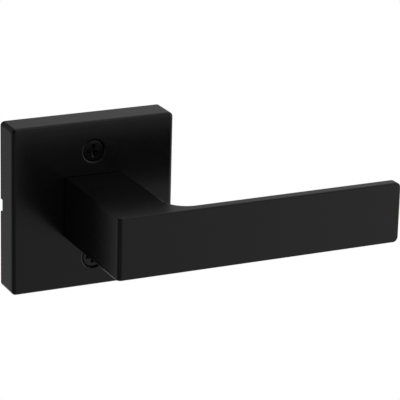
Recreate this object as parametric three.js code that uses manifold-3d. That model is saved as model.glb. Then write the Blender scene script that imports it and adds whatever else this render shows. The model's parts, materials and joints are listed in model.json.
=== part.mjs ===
// Door lever handle on a square rose: one side of a through-bolted tubular lever set.
// Millimetres. The origin is the centre of the rose's rear plane, on the spindle axis.
// +Z is up, +X runs along the grip, +Y goes into the door, so the user's side is -Y.
import * as THREE from "three";
import { mergeVertices } from "three/addons/utils/BufferGeometryUtils.js";
import Module from "manifold-3d";

// ---- driving dimensions ----
const gap = 0.3; // clearance left between pieces that only have to miss each other
const seat = 0.05; // clearance left between pieces that rest on each other
const rose = { side: 66, depth: 12.4, wall: 1.8, edge: 1.5, corner: 1.7, pad: 5 };
const lever = {
  height: 24,
  left: -12,
  neckRight: 11.6,
  tip: 105,
  projection: 63.5,
  gripThickness: 4.5,
  fillet: 9,
  edge: 0.6,
  corner: 1.8, // the neck's left front corner, seen from above
  tipCorner: 2.2,
  clearance: 0.6, // between the neck's base and the rose's face
};
const screw = {
  spacing: 42.6,
  shankR: 2,
  headR: 4.05,
  headHeight: 2.3,
  crown: 0.4, // height of the head's rounded margin
  length: 32, // under the head
  recess: 0.5, // from the rose's face down to the top of the head
  crossArm: 2.6,
  crossHalfWidth: 0.65,
  crossDepth: 1.5,
};
const screwHole = { r: 4.25, rounding: 0.7, throughR: 2.3, bossR: 5.8 };
const notch = { width: 5, depth: 1.9 };
const plate = { side: 61.6, thickness: 1.4, rear: -0.6, corner: 1.5, holeR: 8.6 };
const cage = { r: 18.2, wall: 1.0, earR: 3.6, earAt: 24, earThickness: 1.2 };
const rivet = { r: 1.2, holeR: 1.3, headR: 2.2, headHeight: 0.5 };
const frontBush = { inner: 9.15, outer: 11, flangeR: 13, flange: 0.7 };
const rearBush = { inner: 7.15, outer: 8.4, flangeR: 9.6, flange: 0.45 };
const spindle = { side: 7.9, rear: 58, chamfer: 0.8 };
const hub = {
  spigot: 12.6,
  spigotLength: 22.4,
  journalR: 9,
  bodyR: 7,
  bodyFlat: 6.3,
  bore: 8.2,
  rear: 2.2,
  grooveR: 6.2,
};
const cam = { thickness: 1.4, r: 10, lugR: 13.5, lugHalfDeg: 22, dogIn: 13.4, dogOut: 14.9, width: 4 };
const travelDeg = 50; // each way from level
const stop = { inner: 10.5, outer: 14.2, widthDeg: 11, clearanceDeg: 0.8 };
const spring = { wireR: 0.7, coilR: 12, turns: 2, legR: 16.4 };
const setScrew = { r: 2.9, socketAcross: 3, y: -25, sunk: 0.8 };
const washer = { inner: 7.2, outer: 9.2, thickness: 0.5 };
const retainer = { outer: 9, thickness: 0.8, mouth: 6.4 };

// ---- depths worked out from them ----
const roseFace = -rose.depth;
const roseInside = roseFace + rose.wall;
const neckBase = roseFace - lever.clearance;
const leverFront = -lever.projection;
const gripRear = leverFront + lever.gripThickness;
const plateFront = plate.rear - plate.thickness;
const padRear = plateFront - 4 * seat;
const screwSeat = roseFace + screw.recess + screw.headHeight;
const cageFront = roseInside + frontBush.flange + 4 * seat;
const cageInside = cageFront + cage.wall;
const earFront = padRear - cage.earThickness;
const camFront = cageInside + gap;
const camRear = camFront + cam.thickness;
const spigotFront = neckBase - hub.spigotLength;
const pocketSide = hub.spigot + 2 * gap;
const pocketEnd = spigotFront - 2 * gap;
const washerFront = 0;
const retainerFront = washerFront + washer.thickness + 0.15;
const halfHeight = lever.height / 2;
const screwZ = screw.spacing / 2;

// ---- geometry helpers ----
const kernel = await Module();
kernel.setup();

// A three.js geometry as a manifold-3d solid, facing outwards.
function solid(geometry) {
  const bare = geometry.index ? geometry.toNonIndexed() : geometry.clone();
  bare.deleteAttribute("normal");
  bare.deleteAttribute("uv");
  const merged = mergeVertices(bare, 1e-4);
  const corners = new Uint32Array(merged.index.array);
  const make = (triVerts) =>
    new kernel.Manifold(
      new kernel.Mesh({ numProp: 3, vertProperties: merged.attributes.position.array, triVerts }),
    );
  const made = make(corners);
  return made.volume() > 0 ? made : make(corners.map((_, i) => corners[i - (i % 3) + [0, 2, 1][i % 3]]));
}

function geometryOf(body) {
  const mesh = body.getMesh();
  const geometry = new THREE.BufferGeometry();
  geometry.setAttribute("position", new THREE.BufferAttribute(mesh.vertProperties, 3));
  geometry.setIndex(new THREE.BufferAttribute(mesh.triVerts, 1));
  geometry.computeVertexNormals();
  return geometry;
}

function box([x0, y0, z0], [x1, y1, z1]) {
  const geometry = new THREE.BoxGeometry(x1 - x0, y1 - y0, z1 - z0);
  return solid(geometry.translate((x0 + x1) / 2, (y0 + y1) / 2, (z0 + z1) / 2));
}

// A round bar parallel to the spindle, from depth y0 to y1.
function bar(r, y0, y1, { x = 0, z = 0, frontR = r, sides = 36 } = {}) {
  const geometry = new THREE.CylinderGeometry(r, frontR, y1 - y0, sides);
  return solid(geometry.translate(x, (y0 + y1) / 2, z));
}

// A ring or stepped round piece: a closed profile of [radius, y] turned about the spindle axis.
function turned(profile, sides = 32) {
  const points = [...profile, profile[0]].map(([r, y]) => new THREE.Vector2(r, y));
  return solid(new THREE.LatheGeometry(points, sides));
}

const ring = (inner, outer, y0, y1, sides) =>
  turned([[inner, y0], [outer, y0], [outer, y1], [inner, y1]], sides);

// An outline drawn in X and Z, given thickness from depth y0 to y1.
function slab(outline, y0, y1) {
  const settings = { depth: y1 - y0, bevelEnabled: false, curveSegments: 6 };
  const geometry = new THREE.ExtrudeGeometry(outline, settings);
  return solid(geometry.rotateX(Math.PI / 2).translate(0, y1, 0));
}

function roundedRectangle(x0, z0, x1, z1, r, leftR = r) {
  const outline = new THREE.Shape();
  outline.moveTo(x0 + leftR, z0);
  outline.lineTo(x1 - r, z0);
  outline.absarc(x1 - r, z0 + r, r, -Math.PI / 2, 0, false);
  outline.lineTo(x1, z1 - r);
  outline.absarc(x1 - r, z1 - r, r, 0, Math.PI / 2, false);
  outline.lineTo(x0 + leftR, z1);
  outline.absarc(x0 + leftR, z1 - leftR, leftR, Math.PI / 2, Math.PI, false);
  outline.lineTo(x0, z0 + leftR);
  outline.absarc(x0 + leftR, z0 + leftR, leftR, Math.PI, 1.5 * Math.PI, false);
  return outline;
}

const square = (side, r) => roundedRectangle(-side / 2, -side / 2, side / 2, side / 2, r);

// A wedge of a ring, between two radii and two angles in degrees from +X towards +Z.
function sector(inner, outer, from, to, y0, y1) {
  const [a, b] = [THREE.MathUtils.degToRad(from), THREE.MathUtils.degToRad(to)];
  const outline = new THREE.Shape();
  outline.absarc(0, 0, outer, a, b, false);
  outline.absarc(0, 0, inner, b, a, true);
  return slab(outline, y0, y1);
}

// ---- materials ----
const paint = { color: 0x141414, roughness: 0.5, metalness: 0.0 };
const finishes = {
  blackPaint: paint,
  blackScrew: { ...paint, roughness: 0.4, metalness: 0.4 },
  zincPlate: { color: 0xb9bcc0, roughness: 0.35, metalness: 0.9 },
  steel: { color: 0x9a9c9f, roughness: 0.3, metalness: 1.0 },
  springSteel: { color: 0x6f7276, roughness: 0.35, metalness: 1.0 },
  nylon: { color: 0xe4e2da, roughness: 0.6, metalness: 0.0 },
  blackNylon: { color: 0x1a1a1b, roughness: 0.6, metalness: 0.0 },
};

function piece(name, body, finish) {
  const mesh = new THREE.Mesh(geometryOf(body), new THREE.MeshStandardMaterial(finishes[finish]));
  mesh.name = name;
  return mesh;
}

// ---- fixed pieces ----

// Counterbore with a rounded rim, and the clearance hole behind it.
function screwHoleCutter() {
  const { r, rounding, throughR } = screwHole;
  const rim = [0, 30, 60, 90].map((deg) => {
    const a = THREE.MathUtils.degToRad(deg);
    return [r + rounding - rounding * Math.sin(a), roseFace + rounding - rounding * Math.cos(a)];
  });
  const mouth = [[0, roseFace - 1], [r + rounding, roseFace - 1]];
  return turned([...mouth, ...rim, [r, screwSeat], [throughR, screwSeat], [throughR, 0], [0, 0]], 28);
}

// Cast square cover, open at the back, with two screw bosses, four corner pads and a pry notch.
function roseCover() {
  const edge = rose.edge;
  const outer = new THREE.ExtrudeGeometry(square(rose.side, rose.corner), {
    depth: rose.depth,
    bevelSize: edge,
    bevelThickness: edge,
    bevelOffset: -edge,
    bevelSegments: 3,
    curveSegments: 3,
  });
  outer.rotateX(Math.PI / 2).translate(0, edge, 0);
  const half = rose.side / 2;
  let body = solid(outer).subtract(box([-half - 1, 0, -half - 1], [half + 1, 3, half + 1]));
  const inside = rose.side - 2 * rose.wall;
  body = body.subtract(slab(square(inside, 0.8), roseInside, 1));
  const root = 0.5; // how far the pads and bosses run into the walls
  const padAt = (inside - rose.pad) / 2;
  const reach = rose.pad / 2 + root;
  for (const x of [-padAt, padAt]) {
    for (const z of [-padAt, padAt]) {
      body = body.add(box([x - reach, roseInside - root, z - reach], [x + reach, padRear, z + reach]));
    }
  }
  for (const z of [-screwZ, screwZ]) {
    body = body.add(bar(screwHole.bossR, roseInside - root, padRear, { z, sides: 28 }));
    body = body.subtract(screwHoleCutter().translate([0, 0, z]));
  }
  body = body.subtract(bar(frontBush.outer + 0.2, roseFace - 1, roseInside + 1, { sides: 36 }));
  const halfNotch = notch.width / 2;
  return body.subtract(
    box([-half - 1, -notch.depth, -halfNotch], [-half + rose.wall + 0.2, 1, halfNotch]),
  );
}

const rivetPlaces = [45, 135, 225, 315].map((deg) => {
  const a = THREE.MathUtils.degToRad(deg);
  return [cage.earAt * Math.cos(a), cage.earAt * Math.sin(a)];
});

// Pressed steel plate that closes the back of the rose, slotted for the screws.
function mountingPlate() {
  const [front, rear] = [plateFront - 1, plate.rear + 1];
  let body = slab(square(plate.side, plate.corner), plateFront, plate.rear);
  body = body.subtract(bar(plate.holeR, front, rear, { sides: 32 }));
  const [slotHalf, slotReach] = [2.6, 3.6];
  for (const z of [-screwZ, screwZ]) {
    const slot = roundedRectangle(-slotHalf, z - slotReach, slotHalf, z + slotReach, slotHalf - 0.01);
    body = body.subtract(slab(slot, front, rear));
  }
  for (const [x, z] of rivetPlaces) body = body.subtract(bar(rivet.holeR, front, rear, { x, z, sides: 16 }));
  return body;
}

// Drawn cup with two scallops that clear the screw bosses, four riveted ears and the stops inside.
function springCage() {
  const cup = (r, relief, y0, y1) => {
    let body = bar(r, y0, y1, { sides: 48 });
    for (const z of [-screwZ, screwZ]) body = body.subtract(bar(relief, y0 - 1, y1 + 1, { z, sides: 28 }));
    return body;
  };
  const relief = screwHole.bossR + gap;
  let body = cup(cage.r, relief, cageFront, padRear);
  body = body.subtract(cup(cage.r - cage.wall, relief + cage.wall, cageInside, 1));
  for (const [x, z] of rivetPlaces) {
    const inward = 0.7;
    const ear = bar(cage.earR, earFront, padRear, { x, z, sides: 20 });
    const root = bar(cage.earR, earFront, padRear, { x: x * inward, z: z * inward, sides: 20 });
    const arm = ear.add(root).hull().subtract(bar(cage.r - cage.wall / 2, earFront - 1, padRear + 1));
    body = body.add(arm).subtract(bar(rivet.holeR, earFront - 1, padRear + 1, { x, z, sides: 16 }));
  }
  // The fixed post that the spring's legs straddle, at nine o'clock, outside the cam's dog.
  const half = cam.width / 2;
  const outermost = -cage.r + cage.wall / 2;
  const postFront = cageInside - cage.wall / 2;
  body = body.add(box([outermost, postFront, -half], [-cam.dogOut - 0.5, padRear - gap, half]));
  // Two stops for the cam's lug.
  const from = cam.lugHalfDeg + travelDeg + stop.clearanceDeg;
  const to = from + stop.widthDeg;
  body = body.add(sector(stop.inner, stop.outer, from, to, postFront, camRear));
  body = body.add(sector(stop.inner, stop.outer, -to, -from, postFront, camRear));
  return body.subtract(bar(hub.journalR + 0.5, cageFront - 1, cageInside + 1, { sides: 36 }));
}

// Two coils round the hub, with both legs at nine o'clock astride the dog and the post.
function returnSpring() {
  const legZ = cam.width / 2 + 0.2 + spring.wireR;
  const legDeg = THREE.MathUtils.radToDeg(Math.asin(legZ / spring.coilR));
  const front = camRear + 0.25 + spring.wireR;
  const rear = plateFront - 0.25 - spring.wireR;
  const from = 180 + legDeg;
  const to = 180 - legDeg + 360 * spring.turns;
  const steps = 14 * spring.turns;
  const alongLeg = [spring.legR, spring.legR * 0.9, spring.coilR * 1.08];
  const leg = (y, z) => alongLeg.map((r) => new THREE.Vector3(-r, y, z));
  const points = leg(front, -legZ);
  for (let i = 0; i <= steps; i++) {
    const share = i / steps;
    const a = THREE.MathUtils.degToRad(from + (to - from) * share);
    const y = front + (rear - front) * share;
    points.push(new THREE.Vector3(spring.coilR * Math.cos(a), y, spring.coilR * Math.sin(a)));
  }
  points.push(...leg(rear, legZ).reverse());
  const section = new THREE.Shape();
  section.absarc(0, 0, spring.wireR, 0, 2 * Math.PI, false);
  const path = new THREE.CatmullRomCurve3(points, false, "centripetal");
  return solid(new THREE.ExtrudeGeometry(section, { steps: 48, extrudePath: path, curveSegments: 3 }));
}

// Pan-head machine screw with a cross recess.
function mountingScrew(z) {
  const under = screwSeat - seat;
  const top = under - screw.headHeight;
  const end = under + screw.length;
  const lead = 0.8;
  const profile = [
    [0, top],
    [screw.headR - screw.crown, top + 0.1],
    [screw.headR - 0.1, top + screw.crown * 0.4],
    [screw.headR, top + screw.crown],
    [screw.headR, under],
    [screw.shankR, under],
    [screw.shankR, end - lead],
    [screw.shankR - lead, end],
    [0, end],
  ];
  const [arm, half, deep] = [screw.crossArm, screw.crossHalfWidth, top + screw.crossDepth];
  let body = turned(profile, 24);
  body = body.subtract(box([-arm, top - 1, -half], [arm, deep, half]));
  body = body.subtract(box([-half, top - 1, -arm], [half, deep, arm]));
  return body.translate([0, 0, z]);
}

// Rivet through a cage ear and the plate, with a low head at each end.
function cageRivet([x, z]) {
  const front = earFront - seat;
  const rear = plate.rear + seat;
  const profile = [
    [0, front - rivet.headHeight],
    [rivet.headR * 0.7, front - rivet.headHeight],
    [rivet.headR, front],
    [rivet.r, front],
    [rivet.r, rear],
    [rivet.headR, rear],
    [rivet.headR * 0.7, rear + rivet.headHeight],
    [0, rear + rivet.headHeight],
  ];
  return turned(profile, 16).translate([x, 0, z]);
}

// Nylon sleeve in the rose's hole, with a flange trapped between the rose and the cage.
function frontBushing() {
  const rear = roseInside + seat + frontBush.flange;
  return turned([
    [frontBush.inner, roseFace + 0.1],
    [frontBush.outer, roseFace + 0.1],
    [frontBush.outer, roseInside + seat],
    [frontBush.flangeR, roseInside + seat],
    [frontBush.flangeR, rear],
    [frontBush.inner, rear],
  ]);
}

// Nylon sleeve in the plate, with a flange that takes the retaining ring's thrust.
function rearBushing() {
  const rear = plate.rear + seat + rearBush.flange;
  return turned([
    [rearBush.inner, plateFront - 0.1],
    [rearBush.outer, plateFront - 0.1],
    [rearBush.outer, plate.rear + seat],
    [rearBush.flangeR, plate.rear + seat],
    [rearBush.flangeR, rear],
    [rearBush.inner, rear],
  ]);
}

// ---- pieces that turn with the lever ----

// One casting: a square neck that runs into a flat grip through an inside fillet.
function leverHandle() {
  const { left, neckRight, tip, fillet, edge, corner } = lever;
  const r = edge + 0.2;
  const plan = new THREE.Shape();
  plan.moveTo(left, neckBase);
  plan.lineTo(left, leverFront + corner);
  plan.absarc(left + corner, leverFront + corner, corner, Math.PI, 1.5 * Math.PI, false);
  plan.lineTo(tip - r, leverFront);
  plan.absarc(tip - r, leverFront + r, r, -Math.PI / 2, 0, false);
  plan.lineTo(tip, gripRear - r);
  plan.absarc(tip - r, gripRear - r, r, 0, Math.PI / 2, false);
  plan.lineTo(neckRight + fillet, gripRear);
  plan.absarc(neckRight + fillet, gripRear + fillet, fillet, 1.5 * Math.PI, Math.PI, true);
  plan.lineTo(neckRight, neckBase);
  const casting = new THREE.ExtrudeGeometry(plan, {
    depth: lever.height - 2 * edge,
    bevelSize: edge,
    bevelThickness: edge,
    bevelOffset: -edge,
    bevelSegments: 3,
    curveSegments: 6,
  });
  casting.translate(0, 0, edge - halfHeight);
  const face = roundedRectangle(left - 5, -halfHeight, tip, halfHeight, lever.tipCorner, 0.01);
  let body = solid(casting).intersect(slab(face, leverFront - 1, 0));
  const p = pocketSide / 2;
  body = body.subtract(box([-p, pocketEnd, -p], [p, 0, p]));
  const depth = halfHeight - p + 4;
  const hole = new THREE.CylinderGeometry(setScrew.r + 0.2, setScrew.r + 0.2, depth, 24);
  hole.rotateX(Math.PI / 2).translate(0, setScrew.y, -halfHeight + depth / 2 - 2);
  return body.subtract(solid(hole));
}

// Steel hub: a square spigot in the neck, a round journal, a flatted body for the cam, a ring groove.
function driveHub() {
  const s = hub.spigot / 2;
  const shoulder = neckBase + gap;
  const bodyEnd = plateFront - 0.4;
  const groove = [retainerFront - 0.1, retainerFront + retainer.thickness + 0.1];
  let body = box([-s, spigotFront, -s], [s, shoulder + 0.2, s]);
  body = body.add(bar(hub.journalR, shoulder, camFront, { sides: 36 }));
  const flat = box([-hub.journalR, camFront - 0.2, -hub.bodyFlat], [hub.journalR, bodyEnd, hub.bodyFlat]);
  body = body.add(bar(hub.bodyR, camFront - 0.2, bodyEnd, { sides: 32 }).intersect(flat));
  body = body.add(bar(hub.bodyR, bodyEnd - 0.1, hub.rear, { sides: 32 }));
  body = body.subtract(ring(hub.grooveR, hub.bodyR + 1, groove[0], groove[1], 32));
  const b = hub.bore / 2;
  body = body.subtract(box([-b, spigotFront - 1, -b], [b, hub.rear + 1, b]));
  const hole = new THREE.CylinderGeometry(setScrew.r + 0.15, setScrew.r + 0.15, s, 24);
  return body.subtract(solid(hole.rotateX(Math.PI / 2).translate(0, setScrew.y, -s)));
}

// Stamped cam keyed on the hub's flats: a stop lug at three o'clock, a bent dog at nine.
function springCam() {
  const half = cam.width / 2;
  let body = bar(cam.r, camFront, camRear, { sides: 36 });
  body = body.add(sector(cam.r - 1, cam.lugR, -cam.lugHalfDeg, cam.lugHalfDeg, camFront, camRear));
  body = body.add(box([-cam.dogOut, camFront, -half], [-cam.r + 1, camRear, half]));
  body = body.add(box([-cam.dogOut, camFront, -half], [-cam.dogIn, plateFront - 2 * gap, half]));
  const keyR = hub.bodyR + 0.15;
  const keyFlat = hub.bodyFlat + 0.15;
  const flat = box([-cam.r, camFront - 1, -keyFlat], [cam.r, camRear + 1, keyFlat]);
  return body.subtract(bar(keyR, camFront - 1, camRear + 1, { sides: 32 }).intersect(flat));
}

// Square bar that turns the latch, with a pyramid chamfer at both ends.
function squareSpindle() {
  const s = spindle.side / 2;
  const front = spigotFront + 0.5;
  const chamfered = (outward, end) => {
    const long = 200;
    const slim = s - spindle.chamfer;
    const wide = slim + long;
    const [near, far] = outward > 0 ? [wide, slim] : [slim, wide];
    const geometry = new THREE.CylinderGeometry(far * Math.SQRT2, near * Math.SQRT2, long, 4);
    geometry.rotateY(Math.PI / 4).translate(0, end - (outward * long) / 2, 0);
    return solid(geometry);
  };
  return box([-s, front, -s], [s, spindle.rear, s])
    .intersect(chamfered(1, spindle.rear))
    .intersect(chamfered(-1, front));
}

// Hex-socket set screw, driven up from under the neck towards the spindle.
function leverSetScrew() {
  const top = -spindle.side / 2 - gap;
  const bottom = -halfHeight + setScrew.sunk;
  const upright = (r, height, z, sides) => {
    const geometry = new THREE.CylinderGeometry(r, r, height, sides);
    return solid(geometry.rotateX(Math.PI / 2).translate(0, setScrew.y, z));
  };
  const socket = upright(setScrew.socketAcross / Math.sqrt(3), 6, bottom, 6);
  return upright(setScrew.r, top - bottom, (top + bottom) / 2, 24).subtract(socket);
}

// Open retaining ring in the hub's groove, its mouth at the bottom.
function retainingRing() {
  const rear = retainerFront + retainer.thickness;
  const half = retainer.mouth / 2;
  const body = ring(hub.grooveR + 0.15, retainer.outer, retainerFront, rear, 32);
  return body.subtract(box([-half, retainerFront - 1, -retainer.outer - 1], [half, rear + 1, 0]));
}

// ---- the assembly ----
const fixed = new THREE.Group();
fixed.add(
  piece("rose_cover", roseCover(), "blackPaint"),
  piece("mounting_plate", mountingPlate(), "zincPlate"),
  piece("spring_cage", springCage(), "zincPlate"),
  piece("front_bushing", frontBushing(), "nylon"),
  piece("rear_bushing", rearBushing(), "nylon"),
  piece("return_spring", returnSpring(), "springSteel"),
  piece("mounting_screw_top", mountingScrew(screwZ), "blackScrew"),
  piece("mounting_screw_bottom", mountingScrew(-screwZ), "blackScrew"),
);
rivetPlaces.forEach((place, i) => fixed.add(piece(`cage_rivet_${i + 1}`, cageRivet(place), "steel")));

const neckWasher = ring(frontBush.inner, frontBush.outer, neckBase + seat, roseFace - 2 * seat);
const waveWasher = ring(washer.inner, washer.outer, washerFront, washerFront + washer.thickness);
const turning = new THREE.Group();
turning.add(
  piece("lever_handle", leverHandle(), "blackPaint"),
  piece("neck_washer", neckWasher, "blackNylon"),
  piece("drive_hub", driveHub(), "steel"),
  piece("spring_cam", springCam(), "zincPlate"),
  piece("spindle", squareSpindle(), "steel"),
  piece("set_screw", leverSetScrew(), "blackScrew"),
  piece("wave_washer", waveWasher, "springSteel"),
  piece("retaining_ring", retainingRing(), "springSteel"),
);

const handle = new THREE.Group();
handle.add(fixed, turning);
export default handle;
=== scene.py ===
import json
import math

import bmesh
import bpy
from mathutils import Matrix, Vector


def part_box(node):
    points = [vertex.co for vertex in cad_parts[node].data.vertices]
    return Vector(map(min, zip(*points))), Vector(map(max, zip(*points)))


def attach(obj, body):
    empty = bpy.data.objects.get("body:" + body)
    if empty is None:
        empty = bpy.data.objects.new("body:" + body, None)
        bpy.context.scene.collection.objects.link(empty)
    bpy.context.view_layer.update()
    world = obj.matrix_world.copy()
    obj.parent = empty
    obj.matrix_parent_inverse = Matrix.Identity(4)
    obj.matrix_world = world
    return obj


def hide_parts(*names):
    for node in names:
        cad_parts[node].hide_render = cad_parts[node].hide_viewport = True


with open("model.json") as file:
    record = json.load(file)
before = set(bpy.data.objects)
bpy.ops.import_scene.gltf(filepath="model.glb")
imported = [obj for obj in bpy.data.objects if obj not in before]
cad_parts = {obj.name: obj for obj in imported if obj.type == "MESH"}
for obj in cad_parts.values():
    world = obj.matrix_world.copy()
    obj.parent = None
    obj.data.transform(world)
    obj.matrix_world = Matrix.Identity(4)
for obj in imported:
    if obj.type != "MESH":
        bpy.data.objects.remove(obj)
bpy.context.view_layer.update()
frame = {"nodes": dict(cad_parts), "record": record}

MM = 0.001
FINE = 64  # facets round a hole or a shaft
CREASE = 32  # degrees; a sharper edge than this isn't shaded smooth
PAST = 1.0  # how far a cutter runs past the face it opens

# ---- sizes the frame doesn't give, in millimetres ----
# A round part's or corner's is its radius. A square pocket's, bore's or spigot's is half its side.
# the rose
ROSE_EDGE = 1.5
ROSE_CORNER = 1.7
ROSE_WALL = 1.8
INNER_CORNER = 0.8
PAD = 5.0  # how far a corner pad reaches in from the walls
PAD_GAP = 0.2  # from the pads and bosses to the plate
ROOT = 0.5  # how far the pads and bosses run into the walls
BUSH_HOLE = 11.2
NOTCH_WIDTH = 5.0
NOTCH_DEPTH = 1.9
SCREW_HOLE = 4.25
SCREW_RIM = 0.7
SCREW_BOSS = 5.8
SHANK_HOLE = 2.3
# the lever
LEVER_EDGE = 0.6
LEVER_CORNER = 1.8
END_CORNER = 0.8
TIP_CORNER = 2.2
FILLET = 9.0
NECK_RIGHT = 11.6  # x of the neck's right side
GRIP = 4.5  # its thickness
POCKET = 6.6
POCKET_END = -36.0  # y of its closed end
SET_SCREW_HOLE = 3.1
# the screws
HEAD_HEIGHT = 2.3
HEAD_MARGIN = 0.3  # rounding of the head's rim
HEAD_CROWN = 0.1  # how far its middle stands above that rim
HEAD_SEAT = 0.05  # clearance below the head
SHANK = 2.0
POINT = 0.8  # chamfer of its end
THREAD_PITCH = 0.7
THREAD_DEPTH = 0.38
# depth below the head's top, an arm's reach and half its width
CROSS = (
    (-0.6, 3.1, 0.74),
    (0.0, 2.7, 0.68),
    (1.2, 1.7, 0.5),
    (1.6, 0.9, 0.4),
)
# the plate and its rivets
PLATE_CORNER = 1.5
PLATE_HOLE = 8.6
SLOT_HALF = 2.6  # from a screw slot's middle to its sides
SLOT_REACH = 3.6  # and to its ends
RIVET = 1.2
RIVET_HOLE = 1.3
RIVET_HEAD = 0.5  # its rise
# the cage, the cam and the spring
CAGE_RADIUS = 18.2
CAGE_WALL = 1.0
CAGE_HOLE = 9.5
CAGE_BEND = 1.2
CAGE_BEND_INSIDE = 0.5
BAY_GAP = 0.3  # from the cage to each screw boss
EAR = 3.6
EAR_THICKNESS = 1.2
STOP = (10.5, 14.2)  # inner and outer radius
STOP_DEGREES = 11
STOP_CLEARANCE = 0.8  # degrees
POST_REACH = 15.4  # from the axis to the fixed post
DOG_HALF = 2.0  # half the width of the post and of the cam's dog
DOG_THICKNESS = 1.5
CAM = 10.0
CAM_THICKNESS = 1.4
CAM_LUG = 13.5
LUG_HALF = 22  # degrees
TRAVEL = 50  # degrees, each way from level
WIRE = 0.7
COIL = 12.0
TURNS = 2
LEG_Z = 2.9  # from the middle line to each leg
# the hub and what it turns in
SPIGOT = 6.3
JOURNAL = 9.0
HUB_BODY = 7.0
HUB_FLAT = 6.3  # from the axis to each flat
HUB_BORE = 4.1
HUB_SCREW_HOLE = 3.05
HUB_SHOULDER = -12.7  # y where the journal starts
HUB_FLATS_GAP = 0.4  # from the flats' rear end to the plate
GROOVE = 6.2
RING_PLAY = 0.1  # in the groove, at each side
RUNNING = 0.15  # clearance round the journal and the body
FRONT_SLEEVE = 11.0
FRONT_FLANGE = 0.7
REAR_SLEEVE = 8.4
REAR_FLANGE = 0.45
# the spindle, the set screw and the rings behind
SPINDLE_CHAMFER = 0.8
SPINDLE_EDGE = 0.45
SOCKET_ACROSS = 3.0
SOCKET_DEPTH = 3.0
WAVES = 3
WAVE_INNER = 7.2
WAVE_THICKNESS = 0.25  # of its strip
RING_INNER = 6.35
RING_MOUTH = 3.2  # half the width of its gap

SCREWS = ("mounting_screw_top", "mounting_screw_bottom")

# ---- the camera's place, fitted to the handle's straight edges, in metres and degrees ----
AIM = (0.03660, -0.02984, 0.00272)
AZIMUTH = -25.845
ELEVATION = 18.728
ROLL = 1.484
DISTANCE = 0.8742
LENS = 206.6  # millimetres, on a sensor 36 wide

# ---- the studio ----
FLOOR_SIZE = 40  # metres
FLOOR_Z = -0.35
AMBIENT = 0.03
SOFTNESS = 9.0  # larger is narrower
# direction of each soft light, and its strength
LIGHTS = [
    ((0.74, -0.58, -0.34), 1.12),
    ((0.15, 0.68, -0.72), 0.62),
    ((-0.80, 0.50, -0.33), 0.42),
    ((0.41, 0.85, -0.32), 0.6),
    ((0.35, 0.35, 0.87), 0.5),
    ((0.78, 0.52, 0.34), 0.5),
    ((0.41, -0.32, 0.85), 0.6),
    ((0.0, -0.2, -0.98), 0.5),
    ((0.78, -0.55, 0.25), 0.9),
    # fill that shows mostly from the other sides
    ((-0.66, -0.66, -0.34), 0.2),
    ((0.66, 0.66, -0.34), 0.3),
    ((-0.65, 0.62, 0.45), 0.3),
    ((1.0, 0.0, 0.0), 0.4),
    ((0.0, -1.0, 0.0), 0.3),
    ((-1.0, 0.0, 0.1), 0.15),
]


# ---- outlines, as (x, z) points in millimetres ----

def arc(centre, radius, start, end, steps=8):
    """Points on an arc, both ends included, angles in degrees."""
    angles = [math.radians(start + (end - start) * i / steps) for i in range(steps + 1)]
    return [(centre[0] + radius * math.cos(a), centre[1] + radius * math.sin(a)) for a in angles]


def rounded(corners, steps=6):
    """A closed outline through (u, v, radius) corners, each corner rounded to its radius."""
    points = []
    for i, (u, v, radius) in enumerate(corners):
        here = Vector((u, v))
        before = Vector(corners[i - 1][:2]) - here
        after = Vector(corners[(i + 1) % len(corners)][:2]) - here
        if radius <= 0:
            points.append((u, v))
            continue
        a, b = before.normalized(), after.normalized()
        half = a.angle(b) / 2
        reach = radius / math.tan(half)
        centre = here + (a + b).normalized() * radius / math.sin(half)
        first, last = here + a * reach - centre, here + b * reach - centre
        turn = first.angle_signed(last)
        for k in range(steps + 1):
            spoke = Matrix.Rotation(-turn * k / steps, 2) @ first
            points.append(tuple(centre + spoke))
    return points


def rectangle(x0, z0, x1, z1, radius, steps=6):
    corners = [(x0, z0, radius), (x1, z0, radius), (x1, z1, radius), (x0, z1, radius)]
    return rounded(corners, steps)


def square(half, radius, steps=6):
    return rectangle(-half, -half, half, half, radius, steps)


def sector(inner, outer, start, end):
    """Part of a ring, angles in degrees."""
    return [*arc((0, 0), outer, start, end), *arc((0, 0), inner, end, start)]


# ---- solids ----

def object_from(bm):
    """An object of a mesh drawn in millimetres."""
    bmesh.ops.remove_doubles(bm, verts=bm.verts, dist=1e-4)
    bmesh.ops.recalc_face_normals(bm, faces=bm.faces)
    bmesh.ops.scale(bm, vec=(MM, MM, MM), verts=bm.verts)
    mesh = bpy.data.meshes.new("tool")
    bm.to_mesh(mesh)
    bm.free()
    made = bpy.data.objects.new("tool", mesh)
    bpy.context.scene.collection.objects.link(made)
    return made


def loft(rings):
    """A closed solid through rings of equal length, with flat ends."""
    bm = bmesh.new()
    rows = [[bm.verts.new(p) for p in ring] for ring in rings]
    count = len(rows[0])
    for low, high in zip(rows, rows[1:]):
        for i in range(count):
            j = (i + 1) % count
            bm.faces.new((low[i], low[j], high[j], high[i]))
    bm.faces.new(rows[0])
    bm.faces.new(rows[-1])
    return object_from(bm)


def slab(outline_at, y0, y1, front=0.0, rear=0.0, steps=6):
    """An outline in X and Z, deep from y0 to y1, its front and rear edges rounded.
    outline_at(inset) gives the outline drawn in by that much."""
    layers = []
    if front:
        for k in range(steps + 1):
            a = math.radians(90 * k / steps)
            layers.append((front * (1 - math.sin(a)), y0 + front * (1 - math.cos(a))))
    else:
        layers.append((0.0, y0))
    if rear:
        for k in range(steps + 1):
            a = math.radians(90 * k / steps)
            layers.append((rear * (1 - math.cos(a)), y1 - rear * (1 - math.sin(a))))
    else:
        layers.append((0.0, y1))
    return loft([[(x, y, z) for x, z in outline_at(inset)] for inset, y in layers])


def prism(outline, y0, y1):
    """A slab with sharp edges, of one outline all the way through."""
    return slab(lambda inset: outline, y0, y1)


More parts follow.
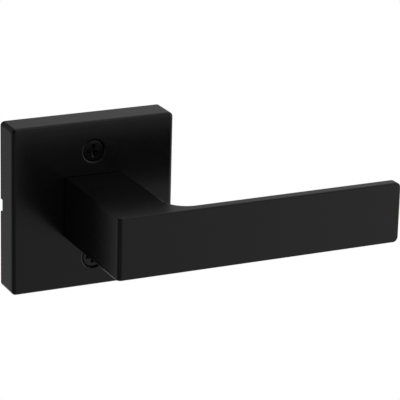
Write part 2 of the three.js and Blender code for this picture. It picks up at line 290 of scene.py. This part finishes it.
def turned(profile, at=(0, 0), sides=FINE):
    """A closed profile of (radius, y) turned about a line along Y through at = (x, z)."""
    profile = [(r if r > 1e-6 else 0.0, y) for r, y in profile]  # a point that near is on the axis
    bm = bmesh.new()
    rows = []
    for i in range(sides):
        a = 2 * math.pi * i / sides
        row = [(at[0] + r * math.cos(a), y, at[1] + r * math.sin(a)) for r, y in profile]
        rows.append([bm.verts.new(point) for point in row])
    for i in range(sides):
        this, following = rows[i], rows[(i + 1) % sides]
        for k in range(len(profile)):
            m = (k + 1) % len(profile)
            if profile[k][0] > 0 or profile[m][0] > 0:
                bm.faces.new((this[k], this[m], following[m], following[k]))
    bmesh.ops.dissolve_degenerate(bm, dist=1e-4, edges=bm.edges)
    return object_from(bm)


def bar(radius, y0, y1, at=(0, 0)):
    return turned([(0, y0), (radius, y0), (radius, y1), (0, y1)], at)


def wire(points, radius):
    """Round wire along a smooth path through the points."""
    curve = bpy.data.curves.new("wire", "CURVE")
    curve.dimensions = "3D"
    curve.resolution_u = 5
    curve.bevel_depth = radius * MM
    curve.bevel_resolution = 4
    curve.use_fill_caps = True
    spline = curve.splines.new("BEZIER")
    spline.bezier_points.add(len(points) - 1)
    for knot, point in zip(spline.bezier_points, points):
        knot.co = Vector(point) * MM
        knot.handle_left_type = knot.handle_right_type = "AUTO"
    path = bpy.data.objects.new("wire", curve)
    bpy.context.scene.collection.objects.link(path)
    bpy.context.view_layer.update()
    graph = bpy.context.evaluated_depsgraph_get()
    made = bpy.data.objects.new("wire", bpy.data.meshes.new_from_object(path.evaluated_get(graph)))
    bpy.context.scene.collection.objects.link(made)
    bpy.data.objects.remove(path)
    return made


def stand(made, y):
    """Turns a solid drawn along Y to point down, at depth y."""
    made.data.transform(Matrix.Rotation(math.radians(-90), 4, "X"))
    made.data.transform(Matrix.Translation((0, y * MM, 0)))
    return made


def combine(target, operation, *tools):
    """Cuts, joins or intersects with other solids, which are used up."""
    for tool in tools:
        step = target.modifiers.new("combine", "BOOLEAN")
        step.operation = operation
        step.solver = "EXACT"
        step.object = tool
    bpy.context.view_layer.update()
    graph = bpy.context.evaluated_depsgraph_get()
    result = bpy.data.meshes.new_from_object(target.evaluated_get(graph))
    target.modifiers.clear()
    target.data = result
    for tool in tools:
        bpy.data.objects.remove(tool)
    return target


def cut(target, *tools):
    return combine(target, "DIFFERENCE", *tools)


def join(target, *tools):
    return combine(target, "UNION", *tools)


# ---- what the frame says about each node ----

def bounds_mm(node):
    low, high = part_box(node)
    return Vector(low) / MM, Vector(high) / MM


def middle(node):
    """(x, z) of the node's centre line, in millimetres."""
    low, high = bounds_mm(node)
    return ((low.x + high.x) / 2, (low.z + high.z) / 2)


def middle_depth(node):
    low, high = bounds_mm(node)
    return (low.y + high.y) / 2


def screw_places():
    return [middle(node) for node in SCREWS]


def rivet_nodes():
    return sorted(node for node in frame["nodes"] if node.startswith("cage_rivet"))


def body_of(node):
    bodies = frame["record"]["behaviour"]["bodies"]
    return next(body for body, nodes in bodies.items() if node in nodes)


def settle(piece, node, material):
    """Names the piece, shades it smooth between its creases and puts it in its node's place."""
    mesh = piece.data
    piece.name = mesh.name = node + "_skin"
    bm = bmesh.new()
    bm.from_mesh(mesh)
    bmesh.ops.remove_doubles(bm, verts=bm.verts, dist=1e-7)
    bmesh.ops.dissolve_degenerate(bm, dist=1e-8, edges=bm.edges)
    for face in bm.faces:
        face.smooth = True
    for edge in bm.edges:
        sharp = len(edge.link_faces) != 2 or edge.calc_face_angle(0) > math.radians(CREASE)
        edge.smooth = not sharp
    bm.to_mesh(mesh)
    bm.free()
    mesh.materials.clear()
    mesh.materials.append(material)
    weighted = piece.modifiers.new("weighted", "WEIGHTED_NORMAL")
    weighted.keep_sharp = True
    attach(piece, body_of(node))
    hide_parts(node)


# ---- materials ----

class Surface:
    """A Principled material and the few nodes that vary it, measured in millimetres."""

    def __init__(self, name, colour, roughness, metallic=0.0, specular=0.5):
        self.material = bpy.data.materials.new(name)
        self.material.use_nodes = True
        self.tree = self.material.node_tree
        self.shader = self.tree.nodes["Principled BSDF"]
        self.shader.inputs["Base Color"].default_value = (*colour, 1)
        self.shader.inputs["Roughness"].default_value = roughness
        self.shader.inputs["Metallic"].default_value = metallic
        self.shader.inputs["Specular IOR Level"].default_value = specular
        self.place = self.node("ShaderNodeTexCoord").outputs["Object"]
        self.bumped = None

    def node(self, kind, **settings):
        """A new node, with the inputs that are named set."""
        made = self.tree.nodes.new(kind)
        for key, value in settings.items():
            made.inputs[key].default_value = value
        return made

    def link(self, output, target):
        self.tree.links.new(output, target)

    def noise(self, size, detail=2.0, stretch=(1, 1, 1)):
        """Noise whose features are about size millimetres across."""
        mapping = self.node("ShaderNodeMapping", Scale=tuple(s / (size * MM) for s in stretch))
        self.link(self.place, mapping.inputs["Vector"])
        made = self.node("ShaderNodeTexNoise", Scale=1.0, Detail=detail, Roughness=0.55)
        self.link(mapping.outputs["Vector"], made.inputs["Vector"])
        return made.outputs["Fac"]

    def spread(self, value, low, high):
        """Noise mapped onto low to high, by the 0.3 to 0.7 that most of it stays within."""
        made = self.node("ShaderNodeMapRange")
        limits = {"From Min": 0.3, "From Max": 0.7, "To Min": low, "To Max": high}
        for key, limit in limits.items():
            made.inputs[key].default_value = limit
        self.link(value, made.inputs["Value"])
        return made.outputs["Result"]

    def colours(self, value, *stops):
        """A colour ramp of (position, colour) stops into the base colour."""
        ramp = self.node("ShaderNodeValToRGB")
        while len(ramp.color_ramp.elements) < len(stops):
            ramp.color_ramp.elements.new(0.5)
        for element, (position, colour) in zip(ramp.color_ramp.elements, stops):
            element.position = position
            element.color = (*colour, 1)
        self.link(value, ramp.inputs["Fac"])
        self.link(ramp.outputs["Color"], self.shader.inputs["Base Color"])

    def roughness(self, value, low, high):
        self.link(self.spread(value, low, high), self.shader.inputs["Roughness"])

    def bump(self, value, depth):
        """Relief depth millimetres deep, on top of any relief already there."""
        made = self.node("ShaderNodeBump", Strength=1.0, Distance=depth * MM)
        self.link(value, made.inputs["Height"])
        if self.bumped:
            self.link(self.bumped, made.inputs["Normal"])
        self.bumped = made.outputs["Normal"]
        self.link(self.bumped, self.shader.inputs["Normal"])


def powder_coat():
    """Satin black powder coat: a faint orange peel and a finer grain over it."""
    coat = Surface("satin_black_powder_coat", (0.0045, 0.0045, 0.0046), 0.22, specular=0.3)
    cloud = coat.noise(9.0, detail=3)
    coat.colours(cloud, (0.3, (0.0038, 0.0038, 0.0039)), (0.75, (0.0052, 0.0052, 0.0053)))
    coat.roughness(coat.noise(1.6, detail=4), 0.2, 0.25)
    coat.bump(coat.noise(1.4, detail=1), 0.003)
    coat.bump(coat.noise(0.16, detail=2), 0.0007)
    return coat.material


def black_oxide():
    screw = Surface("black_oxide_screw", (0.0022, 0.0022, 0.0024), 0.2, specular=0.34)
    screw.roughness(screw.noise(0.8, detail=3), 0.16, 0.22)
    screw.bump(screw.noise(0.12, detail=2), 0.0012)
    return screw.material


def zinc_plate():
    """Bright zinc, from bluish to a little yellow, cloudy as plated sheet is."""
    plate = Surface("bright_zinc_plate", (0.56, 0.57, 0.59), 0.3, metallic=1.0)
    plate.colours(
        plate.noise(7.0, detail=4),
        (0.25, (0.44, 0.46, 0.5)),
        (0.5, (0.58, 0.585, 0.59)),
        (0.75, (0.63, 0.61, 0.55)),
    )
    plate.roughness(plate.noise(2.5, detail=5), 0.24, 0.4)
    plate.bump(plate.noise(0.5, detail=3), 0.004)
    return plate.material


def drawn_steel():
    """Cold-drawn bar: fine lines along Y and a little colour drift."""
    steel = Surface("drawn_steel", (0.5, 0.5, 0.52), 0.3, metallic=1.0)
    lines = steel.noise(0.22, detail=3, stretch=(1, 0.02, 1))
    steel.colours(steel.noise(6.0, detail=3), (0.3, (0.42, 0.42, 0.435)), (0.7, (0.56, 0.56, 0.57)))
    steel.roughness(lines, 0.22, 0.42)
    steel.bump(lines, 0.004)
    return steel.material


def oiled_steel(name, colour):
    steel = Surface(name, colour, 0.34, metallic=1.0)
    steel.roughness(steel.noise(1.2, detail=4), 0.26, 0.42)
    steel.bump(steel.noise(0.25, detail=2), 0.002)
    return steel.material


def nylon(name, colour):
    resin = Surface(name, colour, 0.5, specular=0.45)
    resin.roughness(resin.noise(1.0, detail=3), 0.44, 0.58)
    resin.bump(resin.noise(0.3, detail=2), 0.004)
    return resin.material


COAT = powder_coat()
OXIDE = black_oxide()
ZINC = zinc_plate()
DRAWN = drawn_steel()
SPRING = oiled_steel("oiled_spring_steel", (0.2, 0.205, 0.215))
RIVET_STEEL = oiled_steel("rivet_steel", (0.52, 0.52, 0.53))
NYLON = nylon("natural_nylon", (0.72, 0.7, 0.62))
BLACK_NYLON = nylon("black_nylon", (0.012, 0.012, 0.012))


# ---- the rose's pieces ----

def rose_cover():
    """A square cup, open at the back, with corner pads, screw bosses and a pry notch."""
    low, high = bounds_mm("rose_cover")
    face, half = low.y, high.x
    inside = face + ROSE_WALL
    wall = half - ROSE_WALL
    pad_rear = bounds_mm("mounting_plate")[0].y - PAD_GAP

    def outline(inset):
        return square(half - inset, ROSE_CORNER - inset)

    cover = slab(outline, face, 0, front=ROSE_EDGE, steps=8)
    cut(cover, prism(square(wall, INNER_CORNER), inside, PAST))
    for x in (-1, 1):
        for z in (-1, 1):
            inner, outer = wall - PAD, wall + ROOT
            xs, zs = sorted((x * inner, x * outer)), sorted((z * inner, z * outer))
            pad = rectangle(xs[0], zs[0], xs[1], zs[1], INNER_CORNER)
            join(cover, prism(pad, inside - ROOT, pad_rear))
    seat = bounds_mm(SCREWS[0])[0].y + HEAD_HEIGHT + HEAD_SEAT
    mouth = SCREW_HOLE + SCREW_RIM
    rim = arc((mouth, face + SCREW_RIM), SCREW_RIM, 270, 180)
    hole = [
        (0, face - PAST),
        (mouth, face - PAST),
        *rim,
        (SCREW_HOLE, seat),
        (SHANK_HOLE, seat),
        (SHANK_HOLE, PAST),
        (0, PAST),
    ]
    for place in screw_places():
        join(cover, bar(SCREW_BOSS, inside - ROOT, pad_rear, place))
        cut(cover, turned(hole, place))
    cut(cover, bar(BUSH_HOLE, face - PAST, inside + PAST))
    notch = rectangle(-half - PAST, -NOTCH_WIDTH / 2, -wall + 0.2, NOTCH_WIDTH / 2, 0.4)
    cut(cover, prism(notch, -NOTCH_DEPTH, PAST))
    settle(cover, "rose_cover", COAT)


def cross_recess(top, place):
    """A tapered four-armed driver recess."""
    rings = []
    for depth, reach, half in CROSS:
        corners = []
        for quarter in range(4):
            turn = Matrix.Rotation(math.radians(90 * quarter), 2)
            for u, v, r in ((half, half, 0.12), (reach, half, 0.1), (reach, -half, 0.1)):
                corner = turn @ Vector((u, -v))
                corners.append((corner.x, corner.y, r))
        rings.append([(place[0] + x, top + depth, place[1] + z) for x, z in rounded(corners, 3)])
    return loft(rings)


def threaded_shank(y0, y1, place):
    """A shank with a true helical thread and a chamfered point."""
    sides, per_turn = 28, 8
    rows = int((y1 - y0) / THREAD_PITCH * per_turn)
    rings = []
    for j in range(rows + 1):
        y = y0 + (y1 - y0) * j / rows
        run_in = min(1.0, (y - y0) / (2 * THREAD_PITCH))
        ring = []
        for i in range(sides):
            a = 2 * math.pi * i / sides
            phase = ((y - y0) / THREAD_PITCH - i / sides) % 1.0
            v = max(0.0, 1 - abs(phase - 0.5) * 2.6)  # open over about three quarters of the pitch
            groove = THREAD_DEPTH * run_in * v
            reach = min(SHANK - groove, SHANK - POINT + (y1 - y))
            ring.append((place[0] + reach * math.cos(a), y, place[1] + reach * math.sin(a)))
        rings.append(ring)
    return loft(rings)


def mounting_screw(node):
    low, high = bounds_mm(node)
    place = middle(node)
    top, end, head = low.y, high.y, high.x
    under = top + HEAD_HEIGHT
    stub = under + 1.5
    profile = [
        (0, top),
        *arc((head - HEAD_MARGIN, top + HEAD_MARGIN + HEAD_CROWN), HEAD_MARGIN, -90, 0, 12),
        *arc((head - 0.15, under - 0.15), 0.15, 0, 90, 3),
        (SHANK, under),
        (SHANK, stub),
        (0, stub),
    ]
    screw = turned(profile, place)
    cut(screw, cross_recess(top, place))
    join(screw, threaded_shank(under + 1.0, end, place))
    settle(screw, node, OXIDE)


def mounting_plate():
    low, high = bounds_mm("mounting_plate")
    front, rear, half = low.y, high.y, high.x
    edge = 0.2

    def outline(inset):
        return square(half - inset, PLATE_CORNER - inset)

    def through(radius, place):
        """Cutter for a round hole with a soft rear edge."""
        flare = arc((radius + edge, rear - edge), edge, 180, 90, 4)
        start, end = front - PAST, rear + PAST
        return turned([(0, start), (radius, start), *flare, (radius + edge, end), (0, end)], place)

    plate = slab(outline, front, rear, front=0.15, rear=0.35)
    cut(plate, through(PLATE_HOLE, (0, 0)))
    for node in rivet_nodes():
        cut(plate, through(RIVET_HOLE, middle(node)))
    for x, z in screw_places():
        slot = rectangle(x - SLOT_HALF, z - SLOT_REACH, x + SLOT_HALF, z + SLOT_REACH, SLOT_HALF - 0.01, 12)
        cut(plate, prism(slot, front - PAST, rear + PAST))
    settle(plate, "mounting_plate", ZINC)


def cage_rivet(node):
    low, high = bounds_mm(node)
    head = (high.x - low.x) / 2
    front, rear = low.y + RIVET_HEAD, high.y - RIVET_HEAD

    def dome(y, outward):
        """A low head, from its rim to the axis."""
        angles = [math.radians(a) for a in range(0, 91, 10)]
        return [(head * math.cos(a), y + outward * RIVET_HEAD * math.sin(a)) for a in angles]

    profile = [*reversed(dome(front, -1)), (RIVET, front), (RIVET, rear), *dome(rear, 1)]
    settle(turned(profile, middle(node), 40), node, RIVET_STEEL)


def turned_ring(node, corners, material):
    """A round piece from its profile's corners of (radius, y, rounding)."""
    settle(turned(rounded(corners, 4)), node, material)


def front_bushing():
    low, high = bounds_mm("front_bushing")
    bore, step = JOURNAL + RUNNING, high.y - FRONT_FLANGE
    corners = [
        (bore, low.y, 0.2),
        (FRONT_SLEEVE, low.y, 0.2),
        (FRONT_SLEEVE, step, 0),
        (high.x, step, 0.15),
        (high.x, high.y, 0.15),
        (bore, high.y, 0.2),
    ]
    turned_ring("front_bushing", corners, NYLON)


def rear_bushing():
    low, high = bounds_mm("rear_bushing")
    bore, step = HUB_BODY + RUNNING, high.y - REAR_FLANGE
    corners = [
        (bore, low.y, 0.2),
        (REAR_SLEEVE, low.y, 0.2),
        (REAR_SLEEVE, step, 0),
        (high.x, step, 0.1),
        (high.x, high.y, 0.1),
        (bore, high.y, 0.15),
    ]
    turned_ring("rear_bushing", corners, NYLON)


def scalloped(inset):
    """Outline of the cage, a circle with a bay round each screw boss, drawn in by inset."""
    boss = screw_places()[0][1]
    radius, bay = CAGE_RADIUS - inset, SCREW_BOSS + BAY_GAP + inset
    at_centre = math.degrees(math.acos((radius**2 + boss**2 - bay**2) / (2 * radius * boss)))
    at_boss = math.degrees(math.acos((bay**2 + boss**2 - radius**2) / (2 * bay * boss)))
    points = []
    for turn, side in ((0, 1), (180, -1)):
        points += arc((0, 0), radius, turn - 90 + at_centre, turn + 90 - at_centre, 40)
        points += arc((0, side * boss), bay, turn - 90 + at_boss, turn - 90 - at_boss, 24)[1:-1]
    return points


def spring_cage():
    """A drawn cup, open at the back, with riveted ears, the spring's fixed post and the cam's two stops."""
    low, high = bounds_mm("spring_cage")
    front, rear = low.y, high.y
    floor_y = front + CAGE_WALL
    mid_wall = CAGE_RADIUS - CAGE_WALL / 2
    ear_front = rear - EAR_THICKNESS

    def inside(inset):
        return scalloped(CAGE_WALL + inset)

    cup = slab(scalloped, front, rear, front=CAGE_BEND)
    cut(cup, slab(inside, floor_y, rear + PAST, front=CAGE_BEND_INSIDE))
    for node in rivet_nodes():
        at = Vector(middle(node))
        turn = Matrix.Rotation(math.atan2(at.y, at.x), 2)
        arm = rectangle(0.7 * at.length - EAR, -EAR, at.length + EAR, EAR, EAR - 0.01, 12)
        ear = prism([tuple(turn @ Vector(point)) for point in arm], ear_front, rear)
        cut(ear, bar(mid_wall, ear_front - PAST, rear + PAST))
        join(cup, ear)
        cut(cup, bar(RIVET_HOLE, ear_front - PAST, rear + PAST, at))
    root = floor_y - CAGE_WALL / 2
    post = rectangle(-mid_wall, -DOG_HALF, -POST_REACH, DOG_HALF, 0.2)
    join(cup, prism(post, root, rear - 0.3))
    cam_rear = bounds_mm("spring_cam")[0].y + CAM_THICKNESS
    first = LUG_HALF + TRAVEL + STOP_CLEARANCE
    last = first + STOP_DEGREES
    for start, end in ((first, last), (-last, -first)):
        join(cup, prism(sector(*STOP, start, end), root, cam_rear))
    cut(cup, bar(CAGE_HOLE, front - PAST, floor_y + PAST))
    settle(cup, "spring_cage", ZINC)


def return_spring():
    """Two coils round the hub, with both legs at nine o'clock, one each side of the cam's dog."""
    low, high = bounds_mm("return_spring")
    front, rear = low.y + WIRE, high.y - WIRE
    reach = -low.x
    along_leg = (-reach, -(reach + COIL) / 2, -COIL - 0.9)  # the rest of it bends into the coil
    lead = math.degrees(math.asin(LEG_Z / COIL))
    start, end = 180 + lead, 180 - lead + 360 * TURNS
    steps = 18 * TURNS
    points = [(x, front, -LEG_Z) for x in along_leg]
    for k in range(steps + 1):
        a = math.radians(start + (end - start) * k / steps)
        points.append((COIL * math.cos(a), front + (rear - front) * k / steps, COIL * math.sin(a)))
    points += [(x, rear, LEG_Z) for x in reversed(along_leg)]
    settle(wire(points, WIRE), "return_spring", SPRING)


# ---- the lever's pieces ----

def lever_plan(low, high, inset, tip):
    """The lever seen from above, drawn in by inset, with its tip at x = tip."""
    left, base, front = low.x + inset, high.y, low.y + inset
    neck_right = NECK_RIGHT - inset
    rear = low.y + GRIP - inset
    corner = END_CORNER - inset
    end = tip - inset
    corners = [
        (left, base, 0),
        (left, front, LEVER_CORNER - inset),
        (end, front, corner),
        (end, rear, corner),
        (neck_right, rear, FILLET + inset),
        (neck_right, base, 0),
    ]
    return rounded(corners, 8)


def lever_handle():
    """One casting, built of level slices that draw in towards its top and bottom."""
    low, high = bounds_mm("lever_handle")
    half, tip = high.z, high.x
    layers = []
    steps = 18
    for k in range(steps + 1):
        a = math.radians(90 * k / steps)
        z = half - TIP_CORNER + TIP_CORNER * math.sin(a)
        over = max(0.0, z - (half - LEVER_EDGE))
        inset = LEVER_EDGE - math.sqrt(max(0.0, LEVER_EDGE**2 - over**2))
        layers.append((z, inset, tip - TIP_CORNER * (1 - math.cos(a)) + inset))
    layers = [(-z, inset, end) for z, inset, end in reversed(layers)] + layers
    rings = []
    for z, inset, end in layers:
        outline = lever_plan(low, high, inset, min(tip, end))
        rings.append([(x, y, z) for x, y in outline])
    casting = loft(rings)
    cut(casting, prism(square(POCKET, 0.6), POCKET_END, high.y + PAST))
    flare = 0.4
    r, mouth = SET_SCREW_HOLE, half + PAST
    hole = turned([(0, -4), (r, -4), (r, half - flare), (r + flare, half), (r + flare, mouth), (0, mouth)])
    cut(casting, stand(hole, middle_depth("set_screw")))
    settle(casting, "lever_handle", COAT)


def neck_washer():
    low, high = bounds_mm("neck_washer")
    inner, edge = JOURNAL + RUNNING, 0.08
    corners = [(inner, low.y, edge), (high.x, low.y, edge), (high.x, high.y, edge), (inner, high.y, edge)]
    turned_ring("neck_washer", corners, BLACK_NYLON)


def wave_washer():
    """A thin waved ring, pressed between the bushing and the retaining ring."""
    low, high = bounds_mm("wave_washer")
    half = WAVE_THICKNESS / 2
    sway = (high.y - low.y - WAVE_THICKNESS) / 2
    section = ((WAVE_INNER, -half), (high.x, -half), (high.x, half), (WAVE_INNER, half))
    sides = 96
    bm = bmesh.new()
    rows = []
    for i in range(sides):
        a = 2 * math.pi * i / sides
        y = middle_depth("wave_washer") + sway * math.sin(WAVES * a)
        row = [(r * math.cos(a), y + off, r * math.sin(a)) for r, off in section]
        rows.append([bm.verts.new(point) for point in row])
    for i in range(sides):
        this, following = rows[i], rows[(i + 1) % sides]
        for k in range(4):
            m = (k + 1) % 4
            bm.faces.new((this[k], this[m], following[m], following[k]))
    settle(object_from(bm), "wave_washer", SPRING)


def retaining_ring():
    low, high = bounds_mm("retaining_ring")
    outer = high.x
    gap_in = math.degrees(math.asin(RING_MOUTH / RING_INNER))
    gap_out = math.degrees(math.asin(RING_MOUTH / outer))

    def outline(inset):
        outside = arc((0, 0), outer - inset, -90 + gap_out, 270 - gap_out, 72)
        inside = arc((0, 0), RING_INNER + inset, 270 - gap_in, -90 + gap_in, 72)
        return [*outside, *inside]

    settle(slab(outline, low.y, high.y, front=0.08, rear=0.08, steps=3), "retaining_ring", SPRING)


def spindle():
    low, high = bounds_mm("spindle")
    chamfer = SPINDLE_CHAMFER
    rings = []
    for y, inset in ((low.y, chamfer), (low.y + chamfer, 0), (high.y - chamfer, 0), (high.y, chamfer)):
        outline = square(high.x - inset, SPINDLE_EDGE, 5)
        rings.append([(x, y, z) for x, z in outline])
    settle(loft(rings), "spindle", DRAWN)


def drive_hub():
    """A square spigot, a round journal, a flatted body for the cam and a groove for the ring."""
    low, high = bounds_mm("drive_hub")
    cam_front = bounds_mm("spring_cam")[0].y
    flats_end = bounds_mm("mounting_plate")[0].y - HUB_FLATS_GAP
    ring_low, ring_high = bounds_mm("retaining_ring")
    groove_front, groove_rear = ring_low.y - RING_PLAY, ring_high.y + RING_PLAY
    corners = [
        (0, HUB_SHOULDER, 0),
        (JOURNAL, HUB_SHOULDER, 0.25),
        (JOURNAL, cam_front, 0.1),
        (HUB_BODY, cam_front, 0),
        (HUB_BODY, groove_front, 0.05),
        (GROOVE, groove_front, 0),
        (GROOVE, groove_rear, 0),
        (HUB_BODY, groove_rear, 0.05),
        (HUB_BODY, high.y, 0.35),
        (0, high.y, 0),
    ]
    spigot = slab(lambda inset: square(SPIGOT - inset, 0.5), low.y, HUB_SHOULDER + 0.3, front=0.3)
    hub = turned(rounded(corners, 4))
    join(hub, spigot)
    clear = HUB_BODY + PAST
    for side in (-1, 1):
        zs = sorted((side * HUB_FLAT, side * clear))
        flat = rectangle(-clear, zs[0], clear, zs[1], 0.05, 1)
        cut(hub, prism(flat, cam_front + 0.02, flats_end))  # a hair behind the journal
    cut(hub, prism(square(HUB_BORE, 0.3), low.y - PAST, high.y + PAST))
    screw_hole = bar(HUB_SCREW_HOLE, 3, 9)  # from within the bore to past the spigot
    cut(hub, stand(screw_hole, middle_depth("set_screw")))
    settle(hub, "drive_hub", DRAWN)


def set_screw():
    """Drawn along Y, then stood on end: a cup point above, a hex socket below."""
    low, high = bounds_mm("set_screw")
    radius = high.x
    bottom, top = -low.z, -high.z
    point, edge = 0.7, 0.3
    profile = [
        (0, top + 0.5),
        (1.3, top),
        (radius - point, top),
        (radius, top + point),
        (radius, bottom - edge),
        (radius - edge, bottom),
        (0, bottom),
    ]
    screw = turned(profile, sides=48)
    hexagon = arc((0, 0), SOCKET_ACROSS / math.sqrt(3), 0, 300, 5)
    cut(screw, prism(hexagon, bottom - SOCKET_DEPTH, bottom + PAST))
    settle(stand(screw, middle_depth("set_screw")), "set_screw", OXIDE)


def spring_cam():
    """A stamped plate keyed on the hub's flats: a stop lug at three o'clock, a bent dog at nine."""
    low, high = bounds_mm("spring_cam")
    front, rear, dog = low.y, low.y + CAM_THICKNESS, -low.x
    root = CAM - 1
    slim = 0.05  # the arm is this much narrower than its bent end, on each side
    plate = bar(CAM, front, rear)
    lug = sector(root, CAM_LUG, -LUG_HALF, LUG_HALF)
    arm = rectangle(-dog + slim, slim - DOG_HALF, -root, DOG_HALF - slim, 0.2)
    bent = rectangle(-dog, -DOG_HALF, DOG_THICKNESS - dog, DOG_HALF, 0.2)
    join(plate, prism(lug, front, rear))
    join(plate, prism(arm, front, rear))
    join(plate, prism(bent, front + 0.1, high.y))
    key = bar(HUB_BODY + RUNNING, front - PAST, rear + PAST)
    flat, clear = HUB_FLAT + RUNNING, HUB_BODY + 2 * PAST
    between_flats = rectangle(-clear, -flat, clear, flat, 0.1)
    combine(key, "INTERSECT", prism(between_flats, front - 2 * PAST, rear + 2 * PAST))
    cut(plate, key)
    settle(plate, "spring_cam", ZINC)


def build():
    rose_cover()
    lever_handle()
    for node in SCREWS:
        mounting_screw(node)
    mounting_plate()
    for node in rivet_nodes():
        cage_rivet(node)
    front_bushing()
    rear_bushing()
    neck_washer()
    wave_washer()
    retaining_ring()
    spindle()
    drive_hub()
    set_screw()
    spring_cage()
    spring_cam()
    return_spring()


# ---- the camera and the studio ----

def camera():
    azimuth, elevation, roll = (math.radians(a) for a in (AZIMUTH, ELEVATION, ROLL))
    back = Vector((
        math.sin(azimuth) * math.cos(elevation),
        -math.cos(azimuth) * math.cos(elevation),
        math.sin(elevation),
    ))
    right = Vector((math.cos(azimuth), math.sin(azimuth), 0))
    up = back.cross(right)
    tilted_right = right * math.cos(roll) + up * math.sin(roll)
    tilted_up = up * math.cos(roll) - right * math.sin(roll)
    lens = bpy.data.cameras.new("camera")
    lens.lens = LENS
    lens.sensor_width = 36
    lens.clip_end = 50
    made = bpy.data.objects.new("camera", lens)
    made.matrix_world = Matrix.Translation(Vector(AIM) + back * DISTANCE) @ Matrix((
        (tilted_right.x, tilted_up.x, back.x, 0),
        (tilted_right.y, tilted_up.y, back.y, 0),
        (tilted_right.z, tilted_up.z, back.z, 0),
        (0, 0, 0, 1),
    ))
    bpy.context.scene.collection.objects.link(made)
    bpy.context.scene.camera = made


def floor():
    """A pale sheet that only the camera sees, so the handle's light comes from the studio alone."""
    bpy.ops.mesh.primitive_plane_add(size=FLOOR_SIZE, location=(0, 0, FLOOR_Z))
    plane = bpy.context.object
    plane.name = "floor"
    pale = Surface("pale_floor", (0, 0, 0), 1.0, specular=0)
    pale.shader.inputs["Emission Color"].default_value = (1, 1, 1, 1)
    pale.shader.inputs["Emission Strength"].default_value = 1.0
    plane.data.materials.append(pale.material)
    plane.visible_diffuse = plane.visible_glossy = plane.visible_shadow = False


def studio():
    """Large soft lights all round, each fading smoothly away from its direction."""
    world = bpy.data.worlds.new("studio")
    bpy.context.scene.world = world
    world.use_nodes = True
    tree = world.node_tree

    def maths(operation, *values, kind="ShaderNodeMath"):
        made = tree.nodes.new(kind)
        made.operation = operation
        for socket, value in zip(made.inputs, values):
            if isinstance(value, bpy.types.NodeSocket):
                tree.links.new(value, socket)
            else:
                socket.default_value = value
        return made.outputs["Value"]

    direction = tree.nodes.new("ShaderNodeTexCoord").outputs["Generated"]
    total = AMBIENT
    for aim, strength in LIGHTS:
        facing = maths("DOT_PRODUCT", direction, Vector(aim).normalized(), kind="ShaderNodeVectorMath")
        fade = maths("EXPONENT", maths("MULTIPLY_ADD", facing, SOFTNESS, -SOFTNESS))
        total = maths("MULTIPLY_ADD", fade, strength, total)
    seen = tree.nodes.new("ShaderNodeLightPath").outputs["Is Camera Ray"]
    tree.links.new(maths("MAXIMUM", total, seen), tree.nodes["Background"].inputs["Strength"])
    tree.nodes["Background"].inputs["Color"].default_value = (1, 1, 1, 1)
    floor()
    bpy.context.scene.view_settings.view_transform = "Standard"


camera()
build()
studio()
